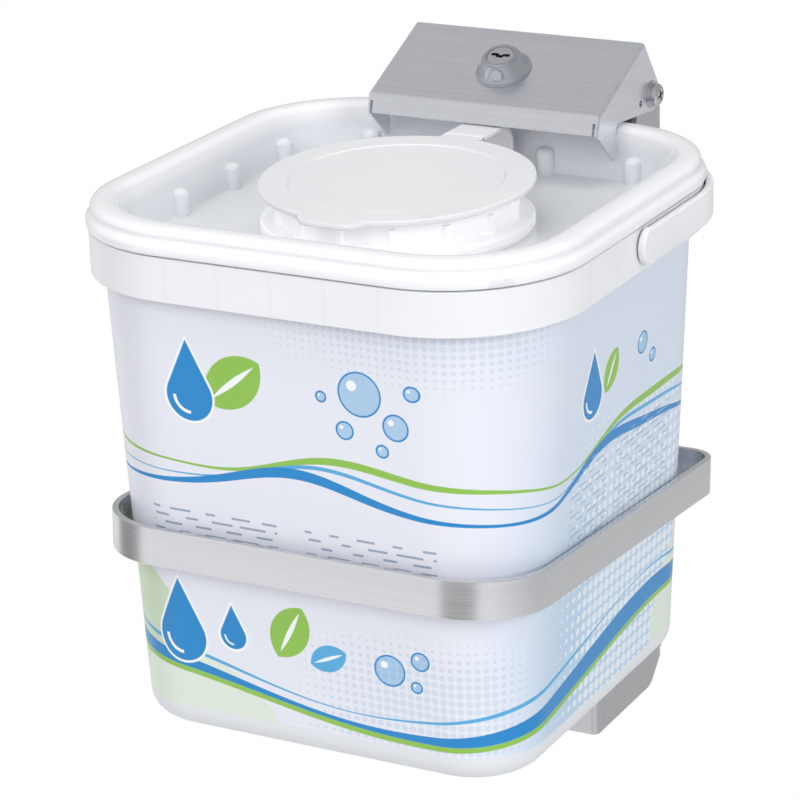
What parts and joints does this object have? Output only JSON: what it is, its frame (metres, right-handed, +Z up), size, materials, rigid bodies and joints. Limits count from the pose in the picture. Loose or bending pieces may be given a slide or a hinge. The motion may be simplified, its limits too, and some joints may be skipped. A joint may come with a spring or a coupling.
{
  "type": "wall wipes dispenser",
  "caption": "Wall bracket with a locking steel hood, a ring and a foot, holding a square plastic tub of wipes with a recessed lid and a flip cap.",
  "frame": {"origin": "middle of the four wall screw holes, on the wall plane that the channel's back lies on", "axes": "+Z up along the wall, +Y out of the object's back into the wall, +X to the object's right seen from the front"},
  "size_m": [0.2074, 0.234, 0.2841],
  "materials": {
    "bracket_steel": "brushed stainless steel flat bar and sheet, satin",
    "hood_steel": "brushed stainless steel sheet, grain across the width",
    "fastener_steel": "bright plated steel",
    "lock_chrome": "polished chrome",
    "spacer_plastic": "natural nylon",
    "tub_plastic": "translucent white polypropylene, printed in the mould on its front and right side",
    "lid_plastic": "translucent white polypropylene",
    "closure_plastic": "opaque white polypropylene, satin",
    "gate_plastic": "soft white plastic",
    "wipes": "white non-woven fleece, wound on itself"
  },
  "bodies": {
    "bracket": {"wall_channel": "bracket_steel", "retaining_ring": "bracket_steel", "support_foot": "bracket_steel", "lock_keeper": "bracket_steel", "pivot_screws": "fastener_steel", "pivot_washers": "fastener_steel", "pivot_spacers": "spacer_plastic", "pivot_nuts": "fastener_steel", "tub": "tub_plastic", "tray_lid": "lid_plastic", "dispensing_collar": "closure_plastic", "dispensing_gate": "gate_plastic", "hinge_band": "closure_plastic", "wipes_roll": "wipes"},
    "hood": {"hood_shell": "hood_steel", "lock_housing": "lock_chrome", "lock_nut": "fastener_steel"},
    "lock": {"lock_plug": "lock_chrome", "lock_cam": "fastener_steel", "cam_screw": "fastener_steel"},
    "cap": {"flip_cap": "closure_plastic"},
    "handle": {"bail_handle": "tub_plastic"}
  },
  "joints": [
    {"name": "hood_hinge", "type": "hinge", "parent": "bracket", "child": "hood", "pos_m": [0, -0.0125, 0.1132], "axis": [-1, 0, 0], "range_deg": [0, 45]},
    {"name": "lock_turn", "type": "hinge", "parent": "hood", "child": "lock", "pos_m": [0, -0.04281, 0.1258], "axis": [0, -0.4162, 0.9093], "range_deg": [0, 90]},
    {"name": "cap_hinge", "type": "hinge", "parent": "bracket", "child": "cap", "pos_m": [0, -0.0785, 0.10728], "axis": [-1, 0, 0], "range_deg": [0, 110]},
    {"name": "handle_swing", "type": "hinge", "parent": "bracket", "child": "handle", "pos_m": [0, -0.131, 0.09], "axis": [1, 0, 0], "range_deg": [-11, 0]}
  ]
}
